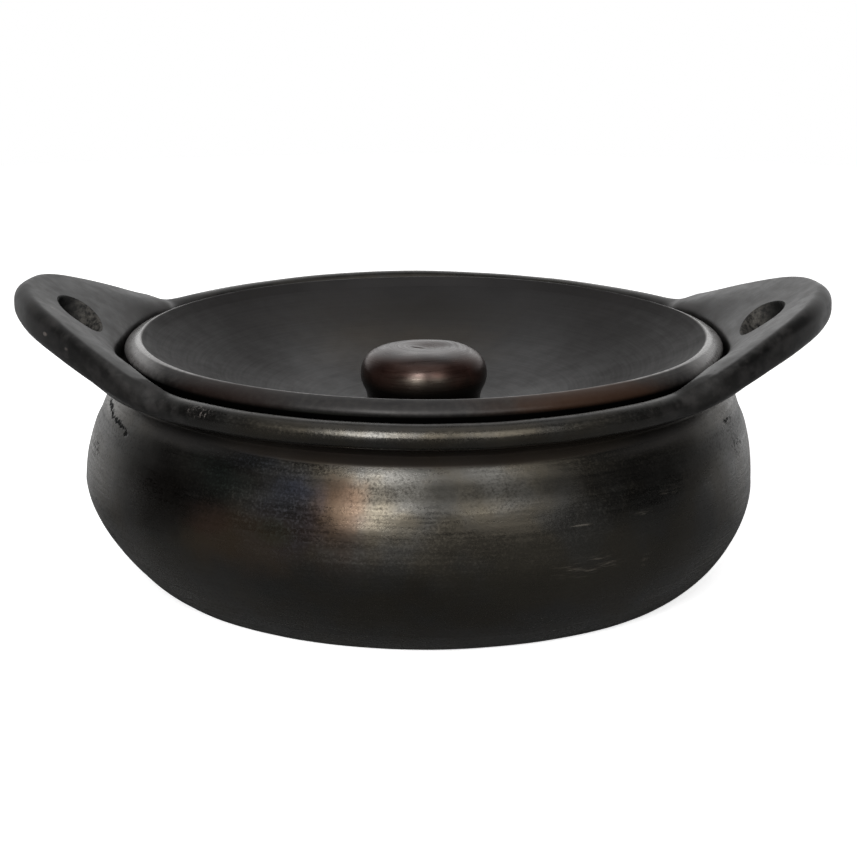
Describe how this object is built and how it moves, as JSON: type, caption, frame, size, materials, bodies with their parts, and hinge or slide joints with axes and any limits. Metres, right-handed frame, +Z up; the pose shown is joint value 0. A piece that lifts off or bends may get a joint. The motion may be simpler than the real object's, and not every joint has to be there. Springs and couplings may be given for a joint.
{
  "type": "lidded clay casserole",
  "caption": "Low bellied black clay casserole pot with pierced ear handles rising from its rolled rim, and a dished lid with a fat knob.",
  "frame": {"origin": "centre of the flat face that the pot rests on", "axes": "+Z up, +X along the line through the two handles, -Y the side seen from in front"},
  "size_m": [0.3682, 0.3006, 0.1382],
  "materials": {
    "burnished_clay": "burnished, reduction-fired black clay, glossy with soft rubbing streaks",
    "lid_clay": "burnished black clay, satin",
    "knob_clay": "burnished black clay, slightly brown"
  },
  "bodies": {
    "pot": {"bowl": "burnished_clay", "shoulder": "burnished_clay", "rim_collar": "burnished_clay", "handle_left": "burnished_clay", "handle_right": "burnished_clay"},
    "lid": {"lid_dish": "lid_clay", "lid_edge": "lid_clay", "lid_knob": "knob_clay"}
  },
  "joints": [
    {"name": "lid_lift", "type": "slide", "parent": "pot", "child": "lid", "axis": [0, 0, 1], "range_m": [0, 0.12]}
  ]
}
